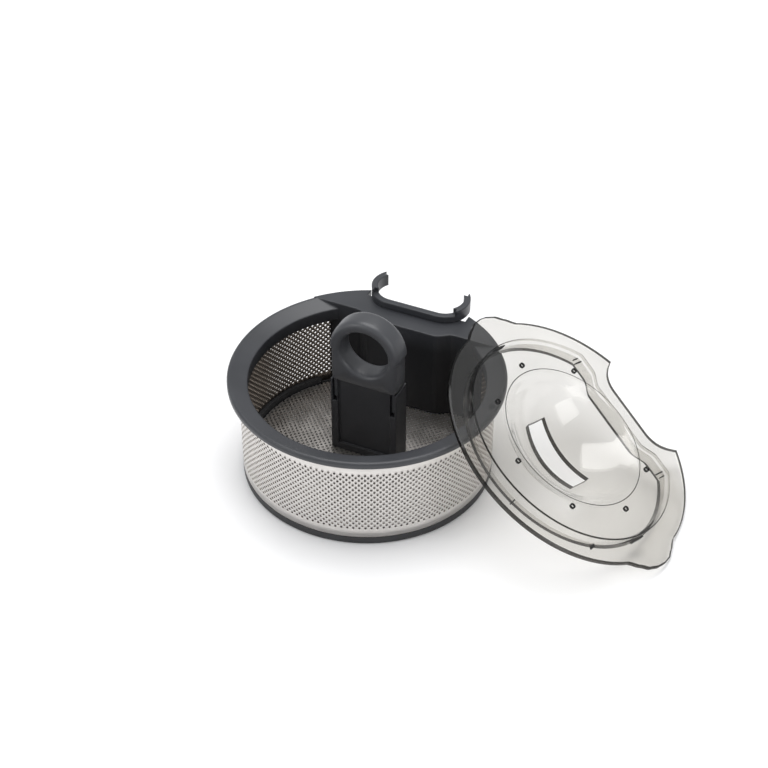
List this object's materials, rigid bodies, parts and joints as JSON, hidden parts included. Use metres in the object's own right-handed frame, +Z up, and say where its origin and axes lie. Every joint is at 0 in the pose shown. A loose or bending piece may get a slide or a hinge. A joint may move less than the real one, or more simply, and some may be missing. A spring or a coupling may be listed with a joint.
{
  "type": "kitchen appliance part",
  "caption": "Loose leaf brew basket of an automatic tea maker: perforated steel drum, dark collar with lift clip, finger loop post, and its clear smoked lid leaning beside it",
  "frame": {"origin": "on the basket's axis, at the underside of its base hub, in the plane it stands on", "axes": "+Z up; +Y towards the rear notch and lift clip; +X to the right seen from the front, towards the leaning lid"},
  "size_m": [0.185, 0.1222, 0.0702],
  "materials": {
    "dark_plastic": "fine satin moulded charcoal",
    "base_plastic": "fine satin moulded near-black",
    "satin_steel": "satin perforated stainless sheet",
    "smoked_clear": "clear smoke-grey moulded plastic"
  },
  "bodies": {
    "basket": {"collar": "dark_plastic", "drum": "satin_steel", "back_cover": "dark_plastic", "base_frame": "base_plastic", "floor_mesh": "satin_steel", "post": "dark_plastic", "finger_loop": "dark_plastic", "carriage_clip": "dark_plastic"},
    "lid": {"lid": "smoked_clear"}
  },
  "joints": [
    {"name": "lid_lift", "type": "slide", "parent": "basket", "child": "lid", "axis": [0, 0, 1], "range_m": [0, 0.11]}
  ]
}
